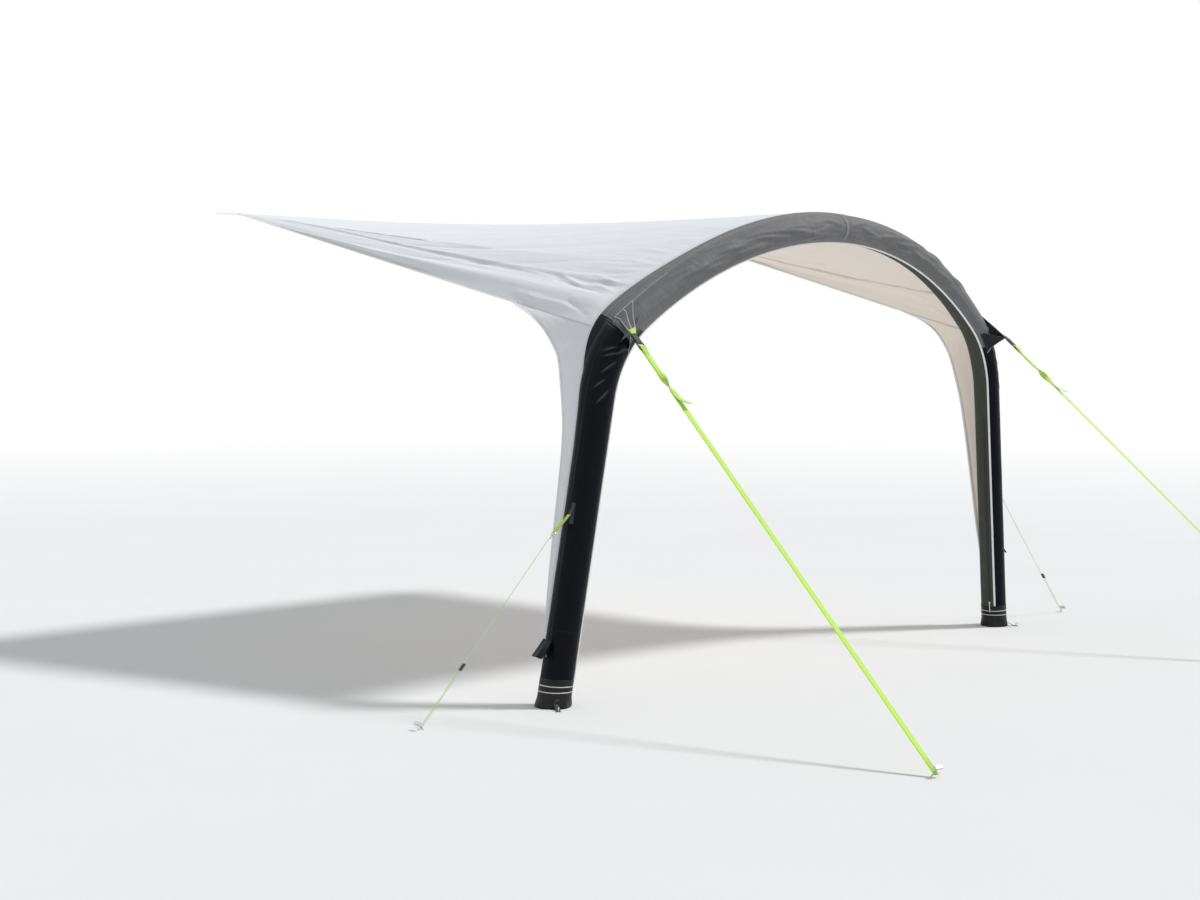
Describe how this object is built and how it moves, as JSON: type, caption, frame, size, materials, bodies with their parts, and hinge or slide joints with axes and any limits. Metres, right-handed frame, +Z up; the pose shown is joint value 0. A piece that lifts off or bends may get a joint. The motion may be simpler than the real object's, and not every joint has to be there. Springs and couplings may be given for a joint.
{
  "type": "inflatable caravan awning canopy",
  "caption": "Open-sided sun canopy that threads into a caravan's awning rail and stands on one inflated arch, held by webbing straps, guy lines and ground pegs.",
  "frame": {"origin": "middle of the rail bead at the rear edge of the roof, on the bead's centre line", "axes": "+X along the awning rail, +Y towards the caravan, +Z up; the ground is 2.44 m below the origin"},
  "size_m": [5.3458, 4.7459, 2.613],
  "materials": {
    "roof_fabric": "coated weave, semi-matt",
    "white_trim": "satin",
    "sleeve_fabric": "coated weave",
    "coated_black": "coated, satin",
    "reflective_tape": "reflective",
    "bladder_film": "film",
    "cover_cloth": "plain weave",
    "grey_plastic": "moulded",
    "black_plastic": "moulded",
    "lime_webbing": "woven",
    "black_webbing": "woven",
    "steel": "bright zinc"
  },
  "bodies": {
    "canopy": {"roof_panel": "roof_fabric", "side_panel_left": "roof_fabric", "side_panel_right": "roof_fabric", "wing_panel_left": "roof_fabric", "wing_panel_right": "roof_fabric", "rail_bead": "white_trim", "bead_tape": "white_trim", "hem_binding_left": "white_trim", "hem_binding_right": "white_trim", "arch_piping_left": "white_trim", "arch_piping_right": "white_trim", "arch_sleeve_left": "sleeve_fabric", "arch_sleeve_right": "sleeve_fabric", "apex_seam_tape": "sleeve_fabric", "foot_cuff_left": "coated_black", "foot_cuff_right": "coated_black", "base_pad_left": "coated_black", "base_pad_right": "coated_black", "shoulder_sling_left": "coated_black", "shoulder_sling_right": "coated_black", "foot_band_upper_left": "reflective_tape", "foot_band_upper_right": "reflective_tape", "foot_band_lower_left": "reflective_tape", "foot_band_lower_right": "reflective_tape", "air_bladder": "bladder_film", "bladder_cover": "cover_cloth", "valve_body": "grey_plastic", "relief_valve": "grey_plastic", "strap_buckle_left": "black_plastic", "strap_buckle_right": "black_plastic", "storm_strap_left": "lime_webbing", "storm_strap_right": "lime_webbing", "guy_tab_left": "lime_webbing", "guy_tab_right": "lime_webbing", "guy_line_left": "lime_webbing", "guy_line_right": "lime_webbing", "sling_webbing_left": "black_webbing", "sling_webbing_right": "black_webbing", "guy_patch_left": "black_webbing", "guy_patch_right": "black_webbing", "foot_loop_left": "black_webbing", "foot_loop_right": "black_webbing", "sleeve_zip_left": "black_webbing", "sleeve_zip_right": "black_webbing", "guy_ring_left": "steel", "guy_ring_right": "steel"},
    "valve_cap": {"valve_cap": "black_plastic"},
    "valve_flap": {"valve_flap": "sleeve_fabric"},
    "relief_flap": {"relief_flap": "sleeve_fabric"},
    "storm_peg_left": {"storm_peg_left": "steel"},
    "guy_peg_left": {"guy_peg_left": "steel"},
    "foot_peg_left": {"foot_peg_left": "steel"},
    "line_runner_left": {"line_runner_left": "black_plastic"},
    "zip_slider_left": {"zip_slider_left": "steel"},
    "storm_peg_right": {"storm_peg_right": "steel"},
    "guy_peg_right": {"guy_peg_right": "steel"},
    "foot_peg_right": {"foot_peg_right": "steel"},
    "line_runner_right": {"line_runner_right": "black_plastic"},
    "zip_slider_right": {"zip_slider_right": "steel"}
  },
  "joints": [
    {"name": "valve_cap_turn", "type": "hinge", "parent": "canopy", "child": "valve_cap", "pos_m": [-1.87323, -2.5698, -2.1971], "axis": [-0.8791, 0.4495, 0.1585], "range_deg": [0, 360]},
    {"name": "valve_flap_lift", "type": "hinge", "parent": "canopy", "child": "valve_flap", "pos_m": [-1.87148, -2.56794, -2.1212], "axis": [0.2609, 0.9653, 0.0096], "range_deg": [-18, 110]},
    {"name": "relief_flap_lift", "type": "hinge", "parent": "canopy", "child": "relief_flap", "pos_m": [1.84713, -2.60743, -1.93931], "axis": [-0.0246, -0.9982, -0.0552], "range_deg": [-22, 110]},
    {"name": "line_runner_left_slide", "type": "slide", "parent": "canopy", "child": "line_runner_left", "axis": [0.692, -0.0301, 0.7213], "range_m": [-0.15, 0.15]},
    {"name": "zip_slider_left_slide", "type": "slide", "parent": "canopy", "child": "zip_slider_left", "axis": [0.1519, -0.0508, 0.9871], "range_m": [0, 1.1]},
    {"name": "storm_peg_left_pull", "type": "slide", "parent": "canopy", "child": "storm_peg_left", "axis": [-0.0835, -0.6687, 0.7389], "range_m": [0, 0.24]},
    {"name": "guy_peg_left_pull", "type": "slide", "parent": "canopy", "child": "guy_peg_left", "axis": [-0.7206, 0.0314, 0.6927], "range_m": [0, 0.24]},
    {"name": "foot_peg_left_pull", "type": "slide", "parent": "canopy", "child": "foot_peg_left", "axis": [0, 0, 1], "range_m": [0, 0.18]},
    {"name": "line_runner_right_slide", "type": "slide", "parent": "canopy", "child": "line_runner_right", "axis": [-0.692, -0.0301, 0.7213], "range_m": [-0.15, 0.15]},
    {"name": "zip_slider_right_slide", "type": "slide", "parent": "canopy", "child": "zip_slider_right", "axis": [-0.1519, -0.0508, 0.9871], "range_m": [0, 1.1]},
    {"name": "storm_peg_right_pull", "type": "slide", "parent": "canopy", "child": "storm_peg_right", "axis": [0.0835, -0.6687, 0.7389], "range_m": [0, 0.24]},
    {"name": "guy_peg_right_pull", "type": "slide", "parent": "canopy", "child": "guy_peg_right", "axis": [0.7206, 0.0314, 0.6927], "range_m": [0, 0.24]},
    {"name": "foot_peg_right_pull", "type": "slide", "parent": "canopy", "child": "foot_peg_right", "axis": [0, 0, 1], "range_m": [0, 0.18]}
  ]
}
